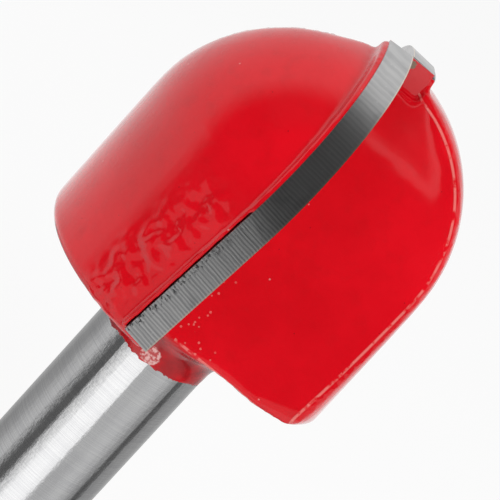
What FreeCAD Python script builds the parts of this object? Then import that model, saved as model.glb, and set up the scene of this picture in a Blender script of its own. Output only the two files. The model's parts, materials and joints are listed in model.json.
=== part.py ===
# Two-flute round-nose (U-groove) router bit.
# Millimetres. The shank end stands at Z = 0 and the cutting tip points up the Z axis.
import FreeCAD, Part
import os

import Sketcher
from FreeCAD import Placement, Rotation, Vector

# Driving dimensions: name, value, meaning
SIZES = (
    ("cutting_diameter", 38.1, "circle that the two cutting edges turn, one and a half inches"),
    ("wing_setback", 1.55, "steel wings inside the cutting circle, on the radius"),
    ("shank_diameter", 12.7, "half-inch shank"),
    ("shank_length", 39.0, "from the shank end to the back face of the head"),
    ("shank_chamfer", 1.0, "bevel round the shank end"),
    ("neck_radius", 3.5, "hollow where the shank meets the head"),
    ("head_straight", 17.35, "straight part of the head, below the round nose"),
    ("rim_radius", 1.5, "rounding of the back rim of the head"),
    ("heel_radius", 0.6, "rounding where a gullet floor runs out of a wing"),
    ("root_radius", 1.0, "hollow where a gullet floor meets the wing that holds the plate"),
    ("shear_angle", 5.2, "lean of each plate out of the axial plane, degrees"),
    ("plate_thickness", 2.85, "carbide plate"),
    ("plate_width", 3.6, "carbide plate, across its crescent"),
    ("plate_lift", 1.2, "from the back face of the head up to the foot of a plate"),
    ("plate_inset", 0.1, "from the axial plane to the inner end of a plate"),
    ("side_relief", 1.4, "drop of the land across a plate, at its side"),
    ("nose_relief", 0.15, "drop of the land across a plate, at its nose"),
    ("braze_seam", 0.08, "gap between a plate and its seat"),
    ("ridge_width", 0.35, "flat top of the steel ridge that backs a plate"),
    ("ridge_flank", 0.1, "width of the steep slope from the ridge down to the wing"),
    ("ridge_drop", 1.6, "height of that slope"),
    ("ridge_step", 0.2, "ridge top below the back edge of the plate"),
    ("web_half", 0.4, "half the web between the two gullet floors, at the tip"),
    ("floor_reach", 7.5, "gullet floor from the axial plane, at the back face of the head"),
    ("floor_angle", 0.5, "slope of the gullet floor near the nose, degrees"),
    ("ramp_angle", 15.0, "slope of the gullet floor near the shank, degrees"),
    ("ramp_radius", 30.0, "cutter radius where the floor bends into the ramp"),
    ("floor_splay", 5.0, "turn of the gullet floor out of the axial plane, degrees"),
    ("notch_depth", 3.4, "notch that bares the inner end of a plate, down from the tip"),
    ("notch_radius", 0.5, "rounded foot of that notch"),
    ("run_out", 6.0, "how far the cutters run past the head"),
)

# Expressions that several sketches share
SHANK_R = "(Sizes.shank_diameter / 2)"
CUT_R = "(Sizes.cutting_diameter / 2)"
HEAD_R = f"({CUT_R} - Sizes.wing_setback)"
BASE = "Sizes.shank_length"
NOSE = "(Sizes.shank_length + Sizes.head_straight)"
TIP = f"({NOSE} + {CUT_R})"
CLEAR = f"({CUT_R} + Sizes.run_out)"
ABOVE = f"({TIP} + Sizes.run_out)"

# In the leaning plane of a rake face, heights grow by one over the cosine of the lean
LEAN = "cos(Sizes.shear_angle)"
ARC_R = f"({CUT_R} * {LEAN})"
ARC_Z = f"({TIP} / {LEAN} - {ARC_R})"
FOOT_Z = f"(({BASE} + Sizes.plate_lift) / {LEAN})"
FOOT_SET = f"(({TIP} - {BASE} - Sizes.plate_lift) * tan(Sizes.shear_angle))"
FOOT_R = f"sqrt({CUT_R} ^ 2 - {FOOT_SET} ^ 2)"

ON_X_AXIS = -1
ON_Y_AXIS = -2
ORIGIN = (-1, 1)


def fill_sheet(document):
    sheet = document.addObject("Spreadsheet::Sheet", "Sizes")
    for row, (name, value, meaning) in enumerate(SIZES, start=1):
        sheet.set(f"A{row}", name)
        sheet.set(f"B{row}", str(value))
        sheet.set(f"C{row}", meaning)
        sheet.setAlias(f"B{row}", name)
    document.recompute()


def origin_feature(body, role):
    for feature in body.Origin.OriginFeatures:
        if feature.Role == role:
            return feature
    raise ValueError(role)


def value_of(sketch, expression):
    """The number that an expression gives now, in millimetres."""
    result = sketch.evalExpression(expression)
    return float(getattr(result, "Value", result))


def pin_point(sketch, side, end, x_expression, y_expression):
    """Hold one corner at its two distances from the sketch's origin."""
    for kind, expression, axis in (("DistanceX", x_expression, ON_Y_AXIS),
                                   ("DistanceY", y_expression, ON_X_AXIS)):
        value = value_of(sketch, expression)
        if abs(value) < 1e-9:
            sketch.addConstraint(Sketcher.Constraint("PointOnObject", side, end, axis))
            continue
        first, second, sign = ORIGIN, (side, end), ""
        if value < 0:
            first, second, sign = (side, end), ORIGIN, "-"
        index = sketch.addConstraint(Sketcher.Constraint(kind, *first, *second, abs(value)))
        name = f"{kind}_{side}"
        sketch.renameConstraint(index, name)
        sketch.setExpression(f"Constraints.{name}", f"{sign}({expression})")


def draw_outline(sketch, corners, arcs):
    """Close an outline through the corners.

    arcs maps the number of a side to its centre, radius and sense: 1 turns to the left,
    -1 to the right.
    """
    spots = [Vector(value_of(sketch, x), value_of(sketch, y), 0) for x, y in corners]
    for side, begin in enumerate(spots):
        finish = spots[(side + 1) % len(spots)]
        if side not in arcs:
            sketch.addGeometry(Part.LineSegment(begin, finish))
            continue
        centre_x, centre_y, radius, sense = arcs[side]
        centre = Vector(value_of(sketch, centre_x), value_of(sketch, centre_y), 0)
        circle = Part.Circle(centre, Vector(0, 0, 1), value_of(sketch, radius))
        ends = (begin, finish) if sense > 0 else (finish, begin)
        angles = [circle.parameter(point) for point in ends]
        sketch.addGeometry(Part.ArcOfCircle(circle, *angles))

    def end_number(side, at_start):
        """1 for the point where a side was drawn from, 2 for the other; a right turn swaps them."""
        turned = side in arcs and arcs[side][3] < 0
        return 1 if at_start != turned else 2

    for side in range(len(corners)):
        following = (side + 1) % len(corners)
        sketch.addConstraint(Sketcher.Constraint(
            "Coincident", side, end_number(side, False), following, end_number(following, True)))
    for side, (x_expression, y_expression) in enumerate(corners):
        pin_point(sketch, side, end_number(side, True), x_expression, y_expression)
    for side, (_, _, radius, _) in arcs.items():
        index = sketch.addConstraint(Sketcher.Constraint("Radius", side, value_of(sketch, radius)))
        name = f"Radius_{side}"
        sketch.renameConstraint(index, name)
        sketch.setExpression(f"Constraints.{name}", radius)


def plain_sketch(body, name, role):
    sketch = body.newObject("Sketcher::SketchObject", name)
    sketch.AttachmentSupport = [(origin_feature(body, role), "")]
    sketch.MapMode = "FlatFace"
    return sketch


def rake_sketch(body, name, setback):
    """A sketch parallel to the leaning rake face, set back into the wing.

    Its X runs out from the axis and its Y up the lean, both from the height of the shank end.
    """
    sketch = plain_sketch(body, name, "YZ_Plane")
    sketch.AttachmentOffset = Placement(Vector(0, 0, 0), Rotation(Vector(-1, 0, 0), 1))
    sketch.setExpression(".AttachmentOffset.Base.z",
                         f"{TIP} * tan(Sizes.shear_angle) + ({setback}) / {LEAN}")
    sketch.setExpression(".AttachmentOffset.Rotation.Angle", "Sizes.shear_angle")
    body.Document.recompute()
    return sketch


def turned_blank(body):
    """Shank, neck hollow and round-nosed head, turned in one piece."""
    sketch = plain_sketch(body, "turned_profile", "XZ_Plane")
    neck = "Sizes.neck_radius"
    rim = "Sizes.rim_radius"
    corners = (
        ("0", "0"),
        (f"{SHANK_R} - Sizes.shank_chamfer", "0"),
        (SHANK_R, "Sizes.shank_chamfer"),
        (SHANK_R, f"{BASE} - {neck}"),
        (f"{SHANK_R} + {neck}", BASE),
        (f"{HEAD_R} - {rim}", BASE),
        (HEAD_R, f"{BASE} + {rim}"),
        (HEAD_R, NOSE),
        ("0", f"{NOSE} + {HEAD_R}"),
    )
    arcs = {
        3: (f"{SHANK_R} + {neck}", f"{BASE} - {neck}", neck, -1),
        5: (f"{HEAD_R} - {rim}", f"{BASE} + {rim}", rim, 1),
        7: ("0", NOSE, HEAD_R, 1),
    }
    draw_outline(sketch, corners, arcs)
    turned = body.newObject("PartDesign::Revolution", "turned_blank")
    turned.Profile = sketch
    turned.ReferenceAxis = (sketch, ["V_Axis"])
    turned.Angle = 360
    return turned


def gullet(body):
    """The chip space in front of one plate: a floor that slopes from the tip to the shank."""
    sketch = rake_sketch(body, "gullet_profile", "0")
    upper = "Sizes.floor_angle"
    lower = "Sizes.ramp_angle"
    web = "Sizes.web_half"
    reach = "Sizes.floor_reach"
    base = f"({BASE} / {LEAN})"
    tip = f"({TIP} / {LEAN})"
    bend = (f"(({reach} - {web} + {base} * tan({lower}) - {tip} * tan({upper}))"
            f" / (tan({lower}) - tan({upper})))")
    bend_out = f"({web} + ({tip} - {bend}) * tan({upper}))"
    tangent = f"(Sizes.ramp_radius * tan(({lower} - {upper}) / 2))"
    arc_out = f"({bend_out} - {tangent} * sin({upper}))"
    arc_up = f"({bend} + {tangent} * cos({upper}))"
    corners = (
        (f"{web} - ({ABOVE} - {tip}) * tan({upper})", ABOVE),
        (arc_out, arc_up),
        (f"{bend_out} + {tangent} * sin({lower})", f"{bend} - {tangent} * cos({lower})"),
        (CLEAR, f"{base} - ({CLEAR} - {reach}) / tan({lower})"),
        (CLEAR, ABOVE),
    )
    arcs = {1: (f"{arc_out} + Sizes.ramp_radius * cos({upper})",
                f"{arc_up} + Sizes.ramp_radius * sin({upper})", "Sizes.ramp_radius", 1)}
    draw_outline(sketch, corners, arcs)
    return straight_cut(body, "gullet", sketch, f"2 * {CLEAR}",
                        "-cos(Sizes.floor_splay)", "sin(Sizes.floor_splay)")


def straight_cut(body, name, sketch, length, x_expression, y_expression):
    """Cut an outline away along a level direction."""
    pocket = body.newObject("PartDesign::Pocket", name)
    pocket.Profile = sketch
    pocket.UseCustomVector = True
    pocket.AlongSketchNormal = False
    pocket.Direction = Vector(value_of(sketch, x_expression), value_of(sketch, y_expression), 0)
    pocket.setExpression(".Direction.x", x_expression)
    pocket.setExpression(".Direction.y", y_expression)
    pocket.setExpression("Length", length)
    return pocket


def crescent(sketch, side_drop, nose_drop, width):
    """Straight side and round nose of a plate or ridge, seen square to the rake face.

    The drops are how far the outer edge lies inside the cutting edge.
    """
    inset = "Sizes.plate_inset"
    radius = f"({ARC_R} - {side_drop})"
    centre = f"({ARC_Z} + {side_drop} - {nose_drop})"
    inner = f"({ARC_R} - {width})"
    corners = (
        (f"{FOOT_R} - {width}", FOOT_Z),
        (f"{FOOT_R} - {side_drop}", FOOT_Z),
        (radius, centre),
        (inset, f"{centre} + sqrt({radius} ^ 2 - {inset} ^ 2)"),
        (inset, f"{ARC_Z} + sqrt({inner} ^ 2 - {inset} ^ 2)"),
        (inner, ARC_Z),
    )
    arcs = {2: ("0", centre, radius, 1), 4: ("0", ARC_Z, inner, -1)}
    draw_outline(sketch, corners, arcs)


def ridge(body):
    """The steel ridge that backs a plate, with a steep flank down to the wing."""
    start = "Sizes.plate_thickness + Sizes.braze_seam"
    middle = f"{start} + Sizes.ridge_width"
    finish = f"{middle} + Sizes.ridge_flank"
    side = "Sizes.side_relief + Sizes.ridge_step"
    nose = "Sizes.nose_relief + Sizes.ridge_step"
    stations = (
        (start, f"({side})", f"({nose})"),
        (middle, f"({side})", f"({nose})"),
        (finish, f"({side} + Sizes.ridge_drop)", f"({nose} + Sizes.ridge_drop)"),
    )
    sketches = []
    for number, (setback, side_drop, nose_drop) in enumerate(stations, start=1):
        sketch = rake_sketch(body, f"ridge_profile_{number}", setback)
        crescent(sketch, side_drop, nose_drop, "(Sizes.plate_width + Sizes.ridge_drop)")
        sketches.append(sketch)
    loft = body.newObject("PartDesign::AdditiveLoft", "ridge")
    loft.Profile = sketches[0]
    loft.Sections = sketches[1:]
    loft.Ruled = True
    return loft


def seat(body):
    """The open recess that a plate is brazed into."""
    sketch = rake_sketch(body, "seat_profile", "0")
    seam = "Sizes.braze_seam"
    inner = f"({ARC_R} - Sizes.plate_width - {seam})"
    corners = (
        (f"{FOOT_R} - Sizes.plate_width - {seam}", f"{FOOT_Z} - {seam}"),
        (CLEAR, f"{FOOT_Z} - {seam}"),
        (CLEAR, ABOVE),
        ("0", ABOVE),
        ("0", f"{ARC_Z} + {inner}"),
        (inner, ARC_Z),
    )
    arcs = {4: ("0", ARC_Z, inner, -1)}
    draw_outline(sketch, corners, arcs)
    return straight_cut(body, "seat", sketch, f"(Sizes.plate_thickness + {seam}) / {LEAN}",
                        "1", "0")


def end_notch(body):
    """The web cut back at the tip, so that the inner ends of plate and ridge are bare."""
    sketch = plain_sketch(body, "notch_profile", "XZ_Plane")
    left = "(Sizes.plate_thickness / 2)"
    right = "(Sizes.plate_thickness + Sizes.braze_seam + Sizes.ridge_width)"
    foot = f"({TIP} - Sizes.notch_depth)"
    radius = "Sizes.notch_radius"
    corners = (
        (f"-{left}", foot),
        (f"{right} - {radius}", foot),
        (right, f"{foot} + {radius}"),
        (right, ABOVE),
        (f"-{left}", ABOVE),
    )
    arcs = {1: (f"{right} - {radius}", f"{foot} + {radius}", radius, 1)}
    draw_outline(sketch, corners, arcs)
    return straight_cut(body, "end_notch", sketch, "Sizes.run_out", "0", "-1")


def repeat_twice(body, name, features):
    pattern = body.newObject("PartDesign::PolarPattern", name)
    pattern.Originals = features
    pattern.Axis = (origin_feature(body, "Z_Axis"), [""])
    pattern.Angle = 360
    pattern.Occurrences = 2
    body.Tip = pattern
    body.Document.recompute()
    return pattern


def main_axis(direction):
    """0, 1 or 2 for the axis X, Y or Z that a direction lies nearest to."""
    sizes = [abs(part) for part in direction]
    return sizes.index(max(sizes))


def is_head_outside(face):
    """The turned outside of the head, without the neck hollow."""
    if isinstance(face.Surface, Part.Toroid):
        return face.BoundBox.ZMax > face.Surface.Center.z
    return isinstance(face.Surface, (Part.Cylinder, Part.Sphere))


def is_floor(face):
    """A gullet floor faces along Y."""
    if isinstance(face.Surface, (Part.Cylinder, Part.Sphere, Part.Toroid, Part.Cone)):
        return False
    u_first, u_last, v_first, v_last = face.ParameterRange
    return main_axis(face.normalAt((u_first + u_last) / 2, (v_first + v_last) / 2)) == 1


def is_rake_wall(face):
    """The wall that a gullet leaves in line with a plate faces along X."""
    return isinstance(face.Surface, Part.Plane) and main_axis(face.Surface.Axis) == 0


def edge_names(shape, first_test, second_test):
    """The edges where a face of one kind meets a face of the other."""
    names = []
    for number, edge in enumerate(shape.Edges, start=1):
        faces = shape.ancestorsOfType(edge, Part.Face)
        if len(faces) != 2:
            continue
        one, other = faces
        if (first_test(one) and second_test(other)) or (first_test(other) and second_test(one)):
            names.append(f"Edge{number}")
    return names


def rounding(body, name, base, edges, radius):
    fillet = body.newObject("PartDesign::Fillet", name)
    fillet.Base = (base, edges)
    fillet.setExpression("Radius", radius)
    body.Tip = fillet
    body.Document.recompute()
    return fillet


def steel_body(document):
    body = document.addObject("PartDesign::Body", "steel_body")
    body.Label = "steel_body"
    turned_blank(body)
    document.recompute()
    flutes = repeat_twice(body, "two_gullets", [gullet(body)])
    roots = edge_names(flutes.Shape, is_floor, is_rake_wall)
    rounded = rounding(body, "gullet_roots", flutes, roots, "Sizes.root_radius")
    heels = edge_names(rounded.Shape, is_floor, is_head_outside)
    rounding(body, "heel_edges", rounded, heels, "Sizes.heel_radius")
    features = []
    for make in (ridge, seat, end_notch):
        features.append(make(body))
        document.recompute()
    repeat_twice(body, "two_seats", features)
    return body


def carbide_plate(document, number):
    """One brazed cutting plate: rake face in front, land sloping down to the back face."""
    body = document.addObject("PartDesign::Body", f"carbide_plate_{number}")
    body.Label = f"carbide_plate_{number}"
    front = rake_sketch(body, "rake_face", "0")
    crescent(front, "0", "0", "Sizes.plate_width")
    back = rake_sketch(body, "back_face", "Sizes.plate_thickness")
    crescent(back, "Sizes.side_relief", "Sizes.nose_relief", "Sizes.plate_width")
    loft = body.newObject("PartDesign::AdditiveLoft", "plate")
    loft.Profile = front
    loft.Sections = [back]
    loft.Ruled = True
    body.Placement = Placement(Vector(0, 0, 0), Rotation(Vector(0, 0, 1), 180 * (number - 1)))
    return body


def check_document(document, bodies):
    for item in document.Objects:
        if "Invalid" in item.State or "Error" in item.State:
            raise RuntimeError(f"{item.Name}: {item.State}")
    for body in bodies:
        if body.Shape.isNull() or not body.Shape.isValid():
            raise RuntimeError(f"{body.Label}: shape is not sound")
        print(body.Label, "solids", len(body.Shape.Solids), "volume", round(body.Shape.Volume, 1))


def main():
    document = FreeCAD.newDocument("router_bit")
    fill_sheet(document)
    bodies = [steel_body(document)]
    for number in (1, 2):
        bodies.append(carbide_plate(document, number))
    document.recompute()
    check_document(document, bodies)
    os.makedirs("parts", exist_ok=True)
    for body in bodies:
        body.Shape.exportStep(f"parts/{body.Label}.step")


main()
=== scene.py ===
import json
import math

import bpy
import numpy as np
from mathutils import Matrix, Vector

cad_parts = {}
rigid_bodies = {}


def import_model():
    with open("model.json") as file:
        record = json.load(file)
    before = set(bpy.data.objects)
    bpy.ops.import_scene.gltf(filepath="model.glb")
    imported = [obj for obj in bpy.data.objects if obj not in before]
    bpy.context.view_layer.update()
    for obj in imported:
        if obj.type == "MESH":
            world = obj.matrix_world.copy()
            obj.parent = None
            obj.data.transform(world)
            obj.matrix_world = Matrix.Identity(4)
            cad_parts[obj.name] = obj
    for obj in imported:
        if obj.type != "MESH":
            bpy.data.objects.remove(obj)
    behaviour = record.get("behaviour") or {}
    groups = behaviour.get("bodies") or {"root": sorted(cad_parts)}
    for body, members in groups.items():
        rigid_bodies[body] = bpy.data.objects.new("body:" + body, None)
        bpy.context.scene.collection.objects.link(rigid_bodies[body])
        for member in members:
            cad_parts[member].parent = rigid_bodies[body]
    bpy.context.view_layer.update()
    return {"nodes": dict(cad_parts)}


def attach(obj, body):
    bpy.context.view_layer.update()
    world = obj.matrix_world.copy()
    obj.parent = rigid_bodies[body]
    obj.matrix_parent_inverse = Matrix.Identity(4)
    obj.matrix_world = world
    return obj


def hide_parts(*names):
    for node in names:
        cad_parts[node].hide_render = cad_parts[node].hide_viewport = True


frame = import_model()

MM = 0.001

# Sizes of the bit, in millimetres
HEAD_BASE = 39.0
NOSE_CENTRE = 56.35
WING_RADIUS = 17.5
TIP = 75.4
PLATE_WIDTH = 3.6
WEB_HALF = 0.4
FLOOR_REACH = 7.5

# Slopes: lean of the plates, and splay, ramp and upper slope of the gullet floors
LEAN = math.tan(math.radians(5.2))
SPLAY = math.tan(math.radians(5.0))
RAMP = math.tan(math.radians(15.0))
SLOPE = math.tan(math.radians(0.5))

# The paint, in millimetres: where it ends on the neck, how high the seams are open, its thickness
PAINT_EDGE = 34.55
SHANK_CUT = 35.4
SEAM_OPEN = 58.0
SEAM_FILL = 0.11
SKIN_STEP = 0.26
PAINT_LIP = 0.07
HEEL_SOFT = 4.6
HEEL_BEAD = 0.9
RIM_BEAD = 0.7

# Damage: the chip by the foot of one plate, and the nick at the tip
CHIP_SPOT = (-0.45, -6.45, 35.6)
NICK_SPOT = (0.45, 0.1, 74.6)

# Colours of the paint
RED_DEEP = (0.60, 0.0, 0.006, 1)
RED_FULL = (0.70, 0.001, 0.009, 1)
RED_MOTTLE = (0.52, 0.0, 0.004, 1)
RED_SPECK = (0.22, 0.0, 0.004, 1)
# Painted shade for the neck
NECK_SHADE_RED = (0.16, 0.002, 0.004, 1)
CHIP_PALE = (0.7, 0.42, 0.4, 1)
CHIP_RED = (0.45, 0.08, 0.08, 1)
DROP_PINK = (0.85, 0.25, 0.22, 1)
# Painted highlight along the thick paint at the edges
EDGE_HIGHLIGHT_PINK = (0.9, 0.34, 0.3, 1)
# Painted highlight on the dust grains
DUST_GLINT_PINK = (0.9, 0.4, 0.38, 1)
RED_ON_PLATE = (0.6, 0.002, 0.008, 1)

# Colours of the steel
STEEL_DARK = (0.58, 0.58, 0.59, 1)
STEEL_PALE = (0.67, 0.67, 0.67, 1)
STEEL_STAIN = (0.42, 0.42, 0.43, 1)
STEEL_RIDGE = (0.4, 0.4, 0.405, 1)

# Colours of the carbide
CARBIDE_DARK = (0.34, 0.34, 0.345, 1)
CARBIDE_PALE = (0.58, 0.575, 0.57, 1)
CARBIDE_CLOUD = (0.2, 0.2, 0.205, 1)
CARBIDE_SPECK = (0.6, 0.6, 0.6, 1)
TORN_BLACK = (0.08, 0.08, 0.085, 1)
# Painted highlight along the cutting edge
EDGE_GLINT_CREAM = (0.8, 0.66, 0.5, 1)
NICK_BROWN = (0.2, 0.13, 0.08, 1)

# Directions at the bit: level towards the camera, level to its right, and straight to it
AHEAD = Vector((-0.177, -0.984, 0))
ASIDE = Vector((0.984, -0.177, 0))
TO_CAMERA = Vector((-0.168, -0.931, 0.322))

# The camera: degrees of turn, height and roll, and its place from the back of the head in mm
CAMERA_TURN = -10.21
CAMERA_HEIGHT = 18.82
CAMERA_ROLL = 42.41
CAMERA_PLACE = (0.955, 9.277, 440)

# The studio: how dark its unlit side is, its radius in metres, and what the lamps aim at in mm
DARK = 0.07
ROOM_RADIUS = 1.5
LAMP_AIM = 55
BRIGHTEST = 1.5

# Tones of the low cards, by degrees round to the right of the camera
STREAKS = ((-179, 0.7), (-140, 0.45), (-117, 0.34), (-96, 0.41), (-80, 0.59), (-67, 0.67),
           (-57, 0.6), (-52, 0.13), (-35, 0.11), (-30, 0.5), (-24, 0.95), (-15, 1.4), (-4, 1.46),
           (6, 1.46), (15, 1.38), (20, 0.58), (35, 0.64), (46, 0.71), (57, 0.68), (70, 0.48),
           (79, 0.3), (83, 0.1), (92, 0.1), (98, 0.36), (124, 0.41), (178, 0.7))


# ---------------------------------------------------------------- node helpers

def feed(tree, socket, value):
    if isinstance(value, bpy.types.NodeSocket):
        tree.links.new(value, socket)
    else:
        socket.default_value = value


def put(tree, kind, settings=None, **sockets):
    """Add a node, with its settings and with values or links for its named sockets."""
    node = tree.nodes.new("ShaderNode" + kind)
    for name, value in (settings or {}).items():
        setattr(node, name, value)
    for name, value in sockets.items():
        feed(tree, node.inputs[name.replace("_", " ")], value)
    return node


def figure(tree, operation, *values):
    """One step of arithmetic on numbers."""
    node = put(tree, "Math", {"operation": operation})
    for socket, value in zip(node.inputs, values):
        feed(tree, socket, value)
    return node.outputs[0]


def times(tree, first, second):
    return figure(tree, "MULTIPLY", first, second)


def plus(tree, first, second):
    return figure(tree, "ADD", first, second)


def less(tree, first, second):
    return figure(tree, "SUBTRACT", first, second)


def larger(tree, first, second):
    return figure(tree, "MAXIMUM", first, second)


def measure(tree, operation, *places):
    """A length, a distance or a dot product of places."""
    node = put(tree, "VectorMath", {"operation": operation})
    for socket, place in zip(node.inputs, places):
        feed(tree, socket, place)
    return node.outputs["Value"]


def ramp_up(tree, value, low, high):
    """Nought below low and one above high, with a soft change between."""
    node = put(tree, "MapRange", {"interpolation_type": "SMOOTHSTEP"}, Value=value)
    node.inputs["From Min"].default_value = min(low, high)
    node.inputs["From Max"].default_value = max(low, high)
    node.inputs["To Min"].default_value = 0.0 if low < high else 1.0
    node.inputs["To Max"].default_value = 1.0 if low < high else 0.0
    return node.outputs["Result"]


def band(tree, value, low, high, edge=0.1):
    """One between low and high, and nought on both sides of them."""
    return times(tree, ramp_up(tree, value, low, low + edge),
                 ramp_up(tree, value, high, high - edge))


def blend(tree, share, first, second):
    """A colour between two colours."""
    node = put(tree, "Mix", {"data_type": "RGBA"})
    feed(tree, node.inputs[0], share)
    feed(tree, node.inputs[6], first)
    feed(tree, node.inputs[7], second)
    return node.outputs[2]


def between(tree, share, first, second):
    """A number between two numbers."""
    node = put(tree, "Mix", {"data_type": "FLOAT"})
    feed(tree, node.inputs[0], share)
    feed(tree, node.inputs[2], first)
    feed(tree, node.inputs[3], second)
    return node.outputs[0]


def noise(tree, point, scale, detail=2.0, roughness=0.5):
    """Even noise, with its scale in waves per millimetre."""
    node = put(tree, "TexNoise", Vector=point, Scale=scale, Detail=detail, Roughness=roughness)
    return node.outputs[0]


def stretched(tree, point, scale):
    return put(tree, "Mapping", Vector=point, Scale=scale).outputs[0]


def start_group(name, inputs, outputs):
    """A node group, with what it is given and what it puts out."""
    tree = bpy.data.node_groups.new(name, "ShaderNodeTree")
    for label, kind, value in inputs:
        socket = tree.interface.new_socket(label, in_out="INPUT", socket_type="NodeSocket" + kind)
        if value is not None:
            socket.default_value = value
    for label, kind in outputs:
        tree.interface.new_socket(label, in_out="OUTPUT", socket_type="NodeSocket" + kind)
    return tree, tree.nodes.new("NodeGroupInput").outputs, tree.nodes.new("NodeGroupOutput").inputs


def place_group(tree, group, **sockets):
    node = put(tree, "Group", {"node_tree": group}, **sockets)
    return node.outputs


def start_material(name):
    """A material whose points are millimetres on the object."""
    material = bpy.data.materials.new(name)
    material.use_nodes = True
    tree = material.node_tree
    place = tree.nodes.new("ShaderNodeTexCoord").outputs["Object"]
    point = stretched(tree, place, (1 / MM, 1 / MM, 1 / MM))
    return material, tree, point, tree.nodes["Principled BSDF"]


def relief(tree, shader, height, depth):
    node = put(tree, "Bump", Height=height, Distance=depth * MM, Strength=1.0)
    tree.links.new(node.outputs["Normal"], shader.inputs["Normal"])


# ---------------------------------------------------------------- shared effects

def grinding_lines():
    """Fine parallel scratches: noise drawn out along two of the three directions."""
    tree, given, result = start_group(
        "grinding_lines",
        [("Point", "Vector", None), ("Squeeze", "Vector", (0.05, 0.05, 6.0)),
         ("Detail", "Float", 3.0)],
        [("Value", "Float")])
    multiply = put(tree, "VectorMath", {"operation": "MULTIPLY"})
    tree.links.new(given["Point"], multiply.inputs[0])
    tree.links.new(given["Squeeze"], multiply.inputs[1])
    lines = put(tree, "TexNoise", Vector=multiply.outputs[0], Scale=1.0, Detail=given["Detail"],
                Roughness=0.6)
    tree.links.new(lines.outputs[0], result["Value"])
    return tree


def scattered_pits():
    """Small round pits, a few of them in each cluster."""
    tree, given, result = start_group(
        "scattered_pits",
        [("Point", "Vector", None), ("Spacing", "Float", 1.0), ("Size", "Float", 0.2),
         ("Share", "Float", 0.4)],
        [("Mask", "Float")])
    scale = figure(tree, "DIVIDE", 1.0, given["Spacing"])
    cells = put(tree, "TexVoronoi", {"feature": "F1"}, Vector=given["Point"], Scale=scale)
    near = figure(tree, "LESS_THAN", cells.outputs["Distance"], given["Size"])
    draw = put(tree, "SeparateColor", Color=cells.outputs["Color"]).outputs[0]
    chosen = figure(tree, "LESS_THAN", draw, given["Share"])
    tree.links.new(times(tree, near, chosen), result["Mask"])
    return tree


def wing_edges():
    """Lines of thick paint along the heel edges of the wings and the lower edges of the floors,
    which also carry a painted highlight.
    """
    tree, given, result = start_group(
        "wing_edges", [("Point", "Vector", None)], [("Mask", "Float")])
    split = put(tree, "SeparateXYZ", Vector=given["Point"]).outputs
    rise = larger(tree, less(tree, split["Z"], NOSE_CENTRE), 0.0)
    arm = put(tree, "CombineXYZ", X=split["X"], Y=split["Y"], Z=rise).outputs[0]
    out = measure(tree, "LENGTH", arm)
    upper = plus(tree, times(tree, less(tree, TIP, split["Z"]), SLOPE), WEB_HALF)
    lower = less(tree, FLOOR_REACH, times(tree, less(tree, split["Z"], HEAD_BASE), RAMP))
    side = figure(tree, "SIGN", split["X"])
    splay = times(tree, times(tree, split["X"], side), SPLAY)
    reach = plus(tree, larger(tree, upper, lower), splay)
    off = figure(tree, "ABSOLUTE", plus(tree, times(tree, split["Y"], side), reach))
    heel = band(tree, out, WING_RADIUS - 1.0, WING_RADIUS - 0.65)
    foot = band(tree, split["Z"], HEAD_BASE - 0.15, HEAD_BASE + 0.25)
    line = times(tree, larger(tree, heel, foot), ramp_up(tree, off, 1.1, 0.9))
    broken = ramp_up(tree, noise(tree, given["Point"], 0.9, 3.0), 0.36, 0.5)
    tree.links.new(times(tree, line, broken), result["Mask"])
    return tree


EDGES = wing_edges()
LINES = grinding_lines()
PITS = scattered_pits()


# ---------------------------------------------------------------- materials

def ground_steel():
    """The bare shank: fine rings from grinding, a speckled grain and a slow stain."""
    material, tree, point, shader = start_material("ground_steel")
    rings = place_group(tree, LINES, Point=point, Squeeze=(0.12, 0.12, 14.0))["Value"]
    bands = place_group(tree, LINES, Point=point, Squeeze=(0.02, 0.02, 0.9))["Value"]
    stain = noise(tree, stretched(tree, point, (0.25, 0.25, 0.08)), 1.0, 4.0)
    grain = noise(tree, stretched(tree, point, (1.0, 1.0, 0.7)), 2.6, 3.0, 0.6)
    tone = blend(tree, ramp_up(tree, rings, 0.35, 0.65), STEEL_DARK, STEEL_PALE)
    tone = blend(tree, times(tree, ramp_up(tree, stain, 0.5, 0.75), 0.3), tone, STEEL_STAIN)
    tree.links.new(tone, shader.inputs["Base Color"])
    tree.links.new(between(tree, bands, 0.12, 0.22), shader.inputs["Roughness"])
    shader.inputs["Metallic"].default_value = 1.0
    relief(tree, shader, plus(tree, grain, times(tree, rings, 0.12)), 0.02)
    return material


def red_paint(tree, point):
    """Colour, roughness and height of the sprayed paint: a slow drift of the red, and pits."""
    drift = noise(tree, point, 0.09, 3.0)
    mottle = noise(tree, point, 0.55, 4.0)
    pits = place_group(tree, PITS, Point=point, Spacing=1.1, Size=0.06, Share=0.16)["Mask"]
    peel = noise(tree, point, 0.9, 3.0, 0.55)
    tone = blend(tree, ramp_up(tree, drift, 0.3, 0.7), RED_DEEP, RED_FULL)
    tone = blend(tree, times(tree, ramp_up(tree, mottle, 0.45, 0.8), 0.4), tone, RED_MOTTLE)
    tone = blend(tree, times(tree, pits, 0.6), tone, RED_SPECK)
    rough = between(tree, mottle, 0.18, 0.34)
    return tone, rough, less(tree, peel, times(tree, pits, 0.5))


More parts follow.
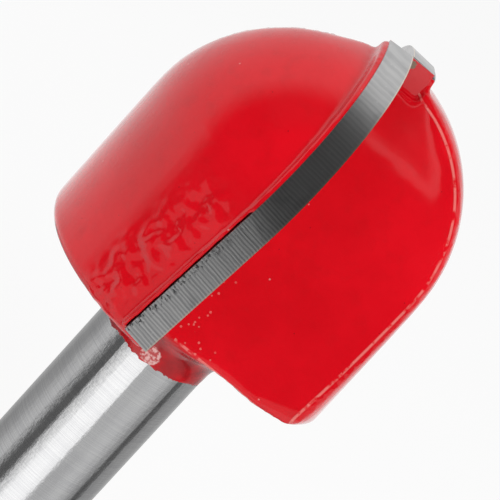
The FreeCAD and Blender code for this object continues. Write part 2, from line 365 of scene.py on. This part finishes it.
def glossy_paint():
    """Red paint: painted shade on the neck, chipped by the foot of one plate, ground off at the
    tip.
    """
    material, tree, point, shader = start_material("glossy_paint")
    tone, rough, height = red_paint(tree, point)
    split = put(tree, "SeparateXYZ", Vector=point).outputs

    # Painted shade: the red darkened in patches on the neck
    patch = ramp_up(tree, noise(tree, point, 0.4, 2.0), 0.1, 0.7)
    neck_shade = times(tree, ramp_up(tree, split["Z"], 39.2, 38.2), patch)
    tone = blend(tree, times(tree, neck_shade, 0.75), tone, NECK_SHADE_RED)

    # The chip, with crumbs of paint left in it
    fray = times(tree, noise(tree, point, 1.3, 3.0), 1.2)
    away = plus(tree, measure(tree, "DISTANCE", point, CHIP_SPOT), fray)
    chip = ramp_up(tree, away, 1.75, 1.55)
    crumbs = ramp_up(tree, noise(tree, point, 3.0, 3.0), 0.4, 0.62)
    tone = blend(tree, chip, tone, blend(tree, crumbs, CHIP_PALE, CHIP_RED))

    # Drops beside the foot of each plate and along the lower edge of each floor
    across = figure(tree, "ABSOLUTE", split["X"])
    beside = times(tree, ramp_up(tree, across, 1.5, 1.0), ramp_up(tree, split["Z"], 49.0, 46.0))
    along = times(tree, ramp_up(tree, across, 5.0, 4.0), ramp_up(tree, split["Z"], 40.9, 40.3))
    foot = times(tree, larger(tree, beside, along), ramp_up(tree, split["Z"], 38.8, 39.1))
    drops = place_group(tree, PITS, Point=point, Spacing=0.5, Size=0.28, Share=0.45)["Mask"]
    drops = times(tree, drops, foot)
    tone = blend(tree, times(tree, drops, 0.5), tone, DROP_PINK)

    # Thick paint along the edges, with a painted highlight in pink on it, and dust caught in the
    # paint
    bead_and_highlight = place_group(tree, EDGES, Point=point)["Mask"]
    tone = blend(tree, times(tree, bead_and_highlight, 0.45), tone, EDGE_HIGHLIGHT_PINK)
    # Painted highlight: each raised dust grain is tinted pale pink for its glint
    dust_and_glint = place_group(tree, PITS, Point=point, Spacing=1.7, Size=0.065, Share=0.16)["Mask"]
    tone = blend(tree, times(tree, dust_and_glint, 0.45), tone, DUST_GLINT_PINK)

    # Bare steel on top of the ridge at the tip
    ground = times(tree, ramp_up(tree, split["Z"], 74.75, 74.85),
                   ramp_up(tree, split["X"], 0.0, 0.1))
    tone = blend(tree, ground, tone, STEEL_RIDGE)
    bare = larger(tree, chip, ground)

    tree.links.new(tone, shader.inputs["Base Color"])
    tree.links.new(ground, shader.inputs["Metallic"])
    tree.links.new(plus(tree, rough, times(tree, bare, 0.3)), shader.inputs["Roughness"])
    tree.links.new(less(tree, 1.0, bare), shader.inputs["Coat Weight"])
    shader.inputs["Coat Roughness"].default_value = 0.1
    shader.inputs["Coat IOR"].default_value = 1.45
    shader.inputs["Specular IOR Level"].default_value = 0.03
    raised = plus(tree, drops, plus(tree, bead_and_highlight, dust_and_glint))
    relief(tree, shader, plus(tree, less(tree, height, bare), raised), 0.05)
    return material


def ground_carbide():
    """Dark ground carbide: lines across its land, a ragged back edge, a painted highlight along
    the cutting edge.
    """
    material, tree, point, shader = start_material("ground_carbide")
    split = put(tree, "SeparateXYZ", Vector=point).outputs
    side = figure(tree, "SIGN", split["Y"])
    lean = times(tree, less(tree, TIP, split["Z"]), LEAN)
    behind = less(tree, times(tree, split["X"], side), lean)

    # Grinding lines, strong on the lower half of a plate and faint above it
    waves = put(tree, "TexWave", {"bands_direction": "Z"}, Vector=point, Scale=0.83,
                Distortion=1.6, Detail=2.0).outputs["Fac"]
    fine = place_group(tree, LINES, Point=point, Squeeze=(0.15, 0.15, 9.0))["Value"]
    lines = plus(tree, times(tree, waves, 0.3), times(tree, fine, 0.7))
    share = between(tree, ramp_up(tree, split["Z"], 64.0, 58.0), 0.25, 1.0)
    lines = between(tree, share, 0.5, lines)
    cloud = noise(tree, point, 0.4, 4.0)
    specks = place_group(tree, PITS, Point=point, Spacing=0.5, Size=0.22, Share=0.14)["Mask"]
    tone = blend(tree, ramp_up(tree, lines, 0.3, 0.7), CARBIDE_DARK, CARBIDE_PALE)
    tone = blend(tree, times(tree, ramp_up(tree, cloud, 0.5, 0.8), 0.4), tone, CARBIDE_CLOUD)
    tone = blend(tree, times(tree, specks, 0.3), tone, CARBIDE_SPECK)

    # Torn pits along the back edge, low down
    back = times(tree, ramp_up(tree, behind, 1.95, 2.5), ramp_up(tree, split["Z"], 58.0, 50.0))
    torn = noise(tree, stretched(tree, point, (1.6, 1.6, 2.6)), 1.0, 4.0, 0.65)
    torn = times(tree, ramp_up(tree, torn, 0.53, 0.59), back)
    tone = blend(tree, torn, tone, TORN_BLACK)

    # Painted highlight: a pale glint along the cutting edge
    edge = times(tree, ramp_up(tree, behind, 0.02, 0.04), ramp_up(tree, behind, 0.15, 0.1))
    tone = blend(tree, times(tree, edge, 0.6), tone, EDGE_GLINT_CREAM)

    # Paint on the inner end, and the nick at the tip
    out = figure(tree, "ABSOLUTE", split["Y"])
    painted = times(tree, ramp_up(tree, out, 0.2, 0.16), ramp_up(tree, split["Z"], 75.3, 75.2))
    tone = blend(tree, painted, tone, RED_ON_PLATE)
    fray = times(tree, noise(tree, point, 4.0), 0.5)
    nick = plus(tree, measure(tree, "DISTANCE", point, NICK_SPOT), fray)
    tone = blend(tree, ramp_up(tree, nick, 0.75, 0.65), tone, NICK_BROWN)

    rough = between(tree, painted, between(tree, cloud, 0.28, 0.42), 0.2)
    tree.links.new(tone, shader.inputs["Base Color"])
    tree.links.new(rough, shader.inputs["Roughness"])
    tree.links.new(less(tree, 1.0, painted), shader.inputs["Metallic"])
    tree.links.new(painted, shader.inputs["Coat Weight"])
    shader.inputs["Coat Roughness"].default_value = 0.1
    relief(tree, shader, less(tree, lines, times(tree, torn, 4.0)), 0.012)
    return material


# ---------------------------------------------------------------- shapes

def pick(piece):
    bpy.ops.object.select_all(action="DESELECT")
    piece.select_set(True)
    bpy.context.view_layer.objects.active = piece


def copy_part(node, name):
    """A closed copy of a finished part, free of its parent."""
    pick(node)
    bpy.ops.object.duplicate()
    piece = bpy.context.object
    piece.name = name
    piece.data.name = name
    bpy.ops.object.parent_clear(type="CLEAR_KEEP_TRANSFORM")
    bpy.ops.mesh.customdata_custom_splitnormals_clear()
    bpy.ops.object.mode_set(mode="EDIT")
    bpy.ops.mesh.select_all(action="SELECT")
    bpy.ops.mesh.remove_doubles(threshold=0.0005 * MM)
    bpy.ops.object.mode_set(mode="OBJECT")
    return piece


def keep_side(piece, height, above):
    """Cut level at a height in millimetres, close the cut and keep one side."""
    pick(piece)
    bpy.ops.object.mode_set(mode="EDIT")
    bpy.ops.mesh.select_all(action="SELECT")
    bpy.ops.mesh.bisect(plane_co=(0, 0, height * MM), plane_no=(0, 0, 1), use_fill=True,
                        clear_inner=above, clear_outer=not above)
    bpy.ops.mesh.select_all(action="SELECT")
    bpy.ops.mesh.normals_make_consistent(inside=False)
    bpy.ops.object.mode_set(mode="OBJECT")


def apply_modifier(piece, kind, **settings):
    pick(piece)
    bpy.ops.object.modifier_add(type=kind)
    modifier = piece.modifiers[-1]
    for name, value in settings.items():
        setattr(modifier, name, value)
    bpy.ops.object.modifier_apply(modifier=modifier.name)


def vertex_places(piece):
    flat = np.empty(len(piece.data.vertices) * 3)
    piece.data.vertices.foreach_get("co", flat)
    return flat.reshape(-1, 3) / MM


def soften(value, low, high):
    """Nought below low and one above high, with a soft change between."""
    share = np.clip((value - low) / (high - low), 0.0, 1.0)
    return share * share * (3 - 2 * share)


def mark(piece, name, weights):
    """A vertex group of the places where the weights are above nought."""
    group = piece.vertex_groups.new(name=name)
    for level in range(1, 21):
        chosen = np.flatnonzero(np.round(weights * 20) == level)
        group.add(chosen.tolist(), level / 20, "REPLACE")


def off_outside(place):
    """How far each place is from the turned outside of the wings."""
    across = np.hypot(place[:, 0], place[:, 1])
    rise = np.maximum(place[:, 2] - NOSE_CENTRE, 0)
    return np.abs(np.hypot(across, rise) - WING_RADIUS)


def off_floor(place):
    """How far each place is from the floor of the gullet on its side."""
    drop = TIP - place[:, 2]
    ramp = FLOOR_REACH - (place[:, 2] - HEAD_BASE) * RAMP
    reach = np.maximum(WEB_HALF + drop * SLOPE, ramp)
    floor = -np.sign(place[:, 0]) * (reach + np.abs(place[:, 0]) * SPLAY)
    return np.abs(place[:, 1] - floor)


def heel_weights(place, reach):
    """One along the heel edges of the wings, nought further than the reach from them."""
    off = np.maximum(off_outside(place), off_floor(place))
    return (1 - soften(off, 0.3 * reach, reach)) * soften(np.abs(place[:, 0]), 4.0, 8.0)


def base_weights(place, reach):
    """One where the floors run out of the back of the head."""
    off = np.maximum(np.abs(place[:, 2] - HEAD_BASE), off_floor(place))
    return 1 - soften(off, 0.3 * reach, reach)


def lump_weights(place):
    """The outside of each wing just behind its ridge, on the straight side."""
    side = np.sign(place[:, 1])
    behind = place[:, 0] * side - (TIP - place[:, 2]) * LEAN - PLATE_WIDTH
    level = soften(place[:, 2], 38.0, 41.0) * (1 - soften(place[:, 2], 54.0, 60.0))
    near = soften(behind, 0.0, 1.2) * (1 - soften(behind, 3.0, 6.0))
    return near * level * (1 - soften(off_outside(place), 0.5, 1.5))


def cloud_texture(name, size, depth):
    texture = bpy.data.textures.new(name, "CLOUDS")
    texture.noise_scale = size * MM
    texture.noise_depth = depth
    return texture


def fill_seats(head, plates):
    """Braze and paint fill the seam round the upper half of each plate; it is open lower down."""
    for plate in plates:
        core = copy_part(plate, "core")
        keep_side(core, SEAM_OPEN, above=True)
        apply_modifier(core, "DISPLACE", direction="NORMAL", mid_level=0.0,
                       strength=-SEAM_FILL * MM)
        bpy.ops.object.select_all(action="DESELECT")
        core.select_set(True)
        head.select_set(True)
        bpy.context.view_layer.objects.active = head
        bpy.ops.object.join()


def paint_head(body, plates):
    """The head under its paint: soft heel edges, beads along them and lumps behind the ridges."""
    head = copy_part(body, "painted_head")
    keep_side(head, PAINT_EDGE, above=True)
    fill_seats(head, plates)
    apply_modifier(head, "REMESH", mode="VOXEL", voxel_size=SKIN_STEP * MM)
    place = vertex_places(head)
    mark(head, "all_edges", soften(place[:, 2], PAINT_EDGE + 0.1, PAINT_EDGE + 0.5))
    mark(head, "heel", heel_weights(place, HEEL_SOFT))
    mark(head, "bead", np.maximum(heel_weights(place, HEEL_BEAD), base_weights(place, RIM_BEAD)))
    mark(head, "lumps", lump_weights(place))
    mark(head, "neck", 1 - soften(place[:, 2], 36.0, 39.0))
    mark(head, "ragged", 1 - soften(place[:, 2], PAINT_EDGE, PAINT_EDGE + 1.0))
    apply_modifier(head, "SMOOTH", factor=0.5, iterations=3, vertex_group="all_edges")
    apply_modifier(head, "SMOOTH", factor=0.5, iterations=200, vertex_group="heel")
    for group, size, detail, middle, depth, way in (("bead", 0.6, 2, 0.2, 0.22, "NORMAL"),
                                                    ("lumps", 1.5, 2, 0.45, 1.0, "NORMAL"),
                                                    ("ragged", 2.6, 2, 0.5, 0.8, "Z")):
        apply_modifier(head, "DISPLACE", texture=cloud_texture(group, size, detail),
                       texture_coords="LOCAL", direction=way, mid_level=middle,
                       strength=depth * MM, vertex_group=group)
    apply_modifier(head, "SMOOTH", factor=0.5, iterations=5, vertex_group="lumps")
    apply_modifier(head, "DISPLACE", direction="NORMAL", mid_level=0.0, strength=PAINT_LIP * MM,
                   vertex_group="neck")
    head.vertex_groups.clear()
    pick(head)
    bpy.ops.object.shade_smooth()
    return head


def bare_shank(body):
    """The shank, up to a little inside the lower edge of the paint."""
    shank = copy_part(body, "shank")
    keep_side(shank, SHANK_CUT, above=False)
    pick(shank)
    bpy.ops.object.shade_smooth_by_angle(angle=math.radians(25))
    return shank


# ---------------------------------------------------------------- studio

def look_from_the_photo():
    """A long lens, 18.8 degrees above the head, rolled so that the bit points up to the right."""
    bpy.ops.object.camera_add()
    camera = bpy.context.object
    camera.name = "photo_camera"
    camera.data.lens = 310.0
    camera.data.sensor_width = 36.0
    stance = (Matrix.Rotation(math.radians(CAMERA_TURN), 4, "Z")
              @ Matrix.Rotation(math.radians(90 - CAMERA_HEIGHT), 4, "X"))
    camera.matrix_world = (Matrix.Translation((0, 0, HEAD_BASE * MM)) @ stance
                           @ Matrix.Translation(Vector(CAMERA_PLACE) * MM)
                           @ Matrix.Rotation(math.radians(CAMERA_ROLL), 4, "Z"))
    camera.data.clip_start = 0.01
    camera.data.clip_end = 20
    bpy.context.scene.camera = camera


def seen_directly(tree):
    """One for rays from the camera, from gloss and through glass."""
    path = tree.nodes.new("ShaderNodeLightPath").outputs
    seen = larger(tree, path["Is Camera Ray"], path["Is Glossy Ray"])
    return larger(tree, seen, path["Is Transmission Ray"])


def pale_floor():
    """A white floor that keeps a faint shadow of the bit."""
    bpy.ops.mesh.primitive_plane_add(size=6, location=(0, 0, 0))
    floor = bpy.context.object
    floor.name = "floor"
    material = bpy.data.materials.new("floor")
    material.use_nodes = True
    tree = material.node_tree
    shader = tree.nodes["Principled BSDF"]
    shader.inputs["Base Color"].default_value = (0.95, 0.95, 0.95, 1)
    shader.inputs["Roughness"].default_value = 1.0
    shader.inputs["Specular IOR Level"].default_value = 0.0
    glow = put(tree, "Emission", Color=(1, 1, 1, 1), Strength=1.0)
    mix = tree.nodes.new("ShaderNodeMixShader")
    tree.links.new(times(tree, seen_directly(tree), 0.8), mix.inputs[0])
    tree.links.new(shader.outputs[0], mix.inputs[1])
    tree.links.new(glow.outputs[0], mix.inputs[2])
    tree.links.new(mix.outputs[0], tree.nodes["Material Output"].inputs["Surface"])
    floor.data.materials.append(material)


def soft_box(name, side, height, distance, size, power):
    """A square lamp, side degrees round to the right of the camera and height degrees up."""
    turn = math.radians(side)
    up = math.radians(height)
    level = AHEAD * math.cos(turn) + ASIDE * math.sin(turn)
    way = level * math.cos(up) + Vector((0, 0, 1)) * math.sin(up)
    aim = Vector((0, 0, LAMP_AIM * MM))
    bpy.ops.object.light_add(type="AREA", location=aim + way * distance)
    lamp = bpy.context.object
    lamp.name = name
    lamp.data.shape = "SQUARE"
    lamp.data.size = size
    lamp.data.energy = power
    lamp.rotation_euler = way.to_track_quat("Z", "Y").to_euler()
    lamp.visible_glossy = False


def only_in_gloss(card):
    """A card that shows in shiny surfaces and hides nothing from the camera or the lamps."""
    card.visible_camera = False
    card.visible_diffuse = False
    card.visible_transmission = False
    card.visible_shadow = False


def glow_material(name):
    """A plain glowing card, whose strength its maker sets."""
    material = bpy.data.materials.new(name)
    material.use_nodes = True
    tree = material.node_tree
    glow = put(tree, "Emission", Color=(1, 1, 1, 1))
    tree.links.new(glow.outputs[0], tree.nodes["Material Output"].inputs["Surface"])
    return material, tree, glow


def dark_room():
    """The unlit room round the camera, above the floor, with a soft edge to the white behind."""
    bpy.ops.object.select_all(action="DESELECT")
    bpy.ops.mesh.primitive_uv_sphere_add(segments=96, ring_count=48, radius=ROOM_RADIUS)
    room = bpy.context.object
    room.name = "dark_room"
    bpy.ops.object.mode_set(mode="EDIT")
    bpy.ops.mesh.select_mode(type="VERT")
    bpy.ops.mesh.select_all(action="DESELECT")
    bpy.ops.object.mode_set(mode="OBJECT")
    for vertex in room.data.vertices:
        behind = vertex.co.dot(TO_CAMERA) < 0.15 * ROOM_RADIUS
        vertex.select = behind or vertex.co.z < -0.01
    bpy.ops.object.mode_set(mode="EDIT")
    bpy.ops.mesh.delete(type="VERT")
    bpy.ops.object.mode_set(mode="OBJECT")
    material, tree, glow = glow_material("dark_room")
    place = tree.nodes.new("ShaderNodeTexCoord").outputs["Object"]
    facing = measure(tree, "DOT_PRODUCT", place, TO_CAMERA / ROOM_RADIUS)
    tree.links.new(between(tree, ramp_up(tree, facing, 0.5, 0.15), DARK, 1.0),
                   glow.inputs["Strength"])
    room.data.materials.append(material)
    only_in_gloss(room)


def card_ring(name, radius, low, high):
    """A round wall of cards, and what its material knows: way round in degrees, height in mm."""
    bpy.ops.object.select_all(action="DESELECT")
    bpy.ops.mesh.primitive_cylinder_add(vertices=96, radius=radius * MM, depth=(high - low) * MM,
                                        end_fill_type="NOTHING",
                                        location=(0, 0, (low + high) / 2 * MM))
    ring = bpy.context.object
    ring.name = name
    material, tree, glow = glow_material(name)
    place = tree.nodes.new("ShaderNodeTexCoord").outputs["Object"]
    ways = [measure(tree, "DOT_PRODUCT", place, way) for way in (ASIDE, AHEAD)]
    turn = figure(tree, "DEGREES", figure(tree, "ARCTAN2", *ways))
    rise = put(tree, "SeparateXYZ", Vector=stretched(tree, place, (1 / MM, 1 / MM, 1 / MM)))
    height = plus(tree, rise.outputs["Z"], (low + high) / 2)
    ring.data.materials.append(material)
    only_in_gloss(ring)
    return tree, glow, turn, height


def low_cards():
    """Grey cards that draw the long streaks on the shank."""
    tree, glow, turn, _ = card_ring("low_cards", 22, 0.3, 30)
    ramp = put(tree, "ValToRGB", Fac=figure(tree, "DIVIDE", plus(tree, turn, 180.0), 360.0))
    for degrees, tone in STREAKS:
        stop = ramp.color_ramp.elements.new((degrees + 180) / 360)
        stop.color = (tone / BRIGHTEST, tone / BRIGHTEST, tone / BRIGHTEST, 1)
    ramp.color_ramp.elements.remove(ramp.color_ramp.elements[0])
    ramp.color_ramp.elements.remove(ramp.color_ramp.elements[-1])
    tree.links.new(times(tree, ramp.outputs["Color"], BRIGHTEST), glow.inputs["Strength"])


def high_cards():
    """A dark front for the paint, with a pale lower part for the plates and a cloudy gap."""
    tree, glow, turn, height = card_ring("high_cards", 60, 18, 60)
    front = less(tree, ramp_up(tree, turn, -66, -50), ramp_up(tree, turn, 94, 106))
    pale = times(tree, ramp_up(tree, turn, -46, -38), ramp_up(tree, height, 44, 40))
    dark = less(tree, front, times(tree, pale, 0.55))
    tree.links.new(between(tree, dark, 1.0, DARK), glow.inputs["Strength"])
    cloud = noise(tree, put(tree, "CombineXYZ", X=turn, Y=height).outputs[0], 0.35, 4.0)
    gap = times(tree, ramp_up(tree, turn, 12, 20), ramp_up(tree, height, 46, 51))
    gap = times(tree, gap, ramp_up(tree, cloud, 0.4, 0.65))
    clear = put(tree, "BsdfTransparent")
    mix = tree.nodes.new("ShaderNodeMixShader")
    tree.links.new(gap, mix.inputs[0])
    tree.links.new(glow.outputs[0], mix.inputs[1])
    tree.links.new(clear.outputs[0], mix.inputs[2])
    tree.links.new(mix.outputs[0], tree.nodes["Material Output"].inputs["Surface"])


def studio_world():
    """White all round, and dimmer as a light for the matt surfaces."""
    world = bpy.data.worlds.new("studio")
    bpy.context.scene.world = world
    world.use_nodes = True
    tree = world.node_tree
    background = tree.nodes["Background"]
    background.inputs["Color"].default_value = (1, 1, 1, 1)
    tree.links.new(between(tree, seen_directly(tree), 0.55, 1.0), background.inputs["Strength"])


# ---------------------------------------------------------------- the bit in its studio

look_from_the_photo()
nodes = frame["nodes"]
body = nodes["steel_body"]
paint = glossy_paint()
steel = ground_steel()
carbide = ground_carbide()
plates = [nodes["carbide_plate_1"], nodes["carbide_plate_2"]]
for piece, material in ((paint_head(body, plates), paint), (bare_shank(body), steel)):
    piece.data.materials.clear()
    piece.data.materials.append(material)
    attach(piece, "root")
    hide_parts("steel_body")
for plate in plates:
    plate.data.materials.clear()
    plate.data.materials.append(carbide)

pale_floor()
studio_world()
dark_room()
low_cards()
high_cards()
soft_box("key", -70, 55, 0.7, 0.5, 0.9)
soft_box("fill", 30, 35, 0.8, 0.5, 3.4)
bpy.context.scene.view_settings.view_transform = "Standard"
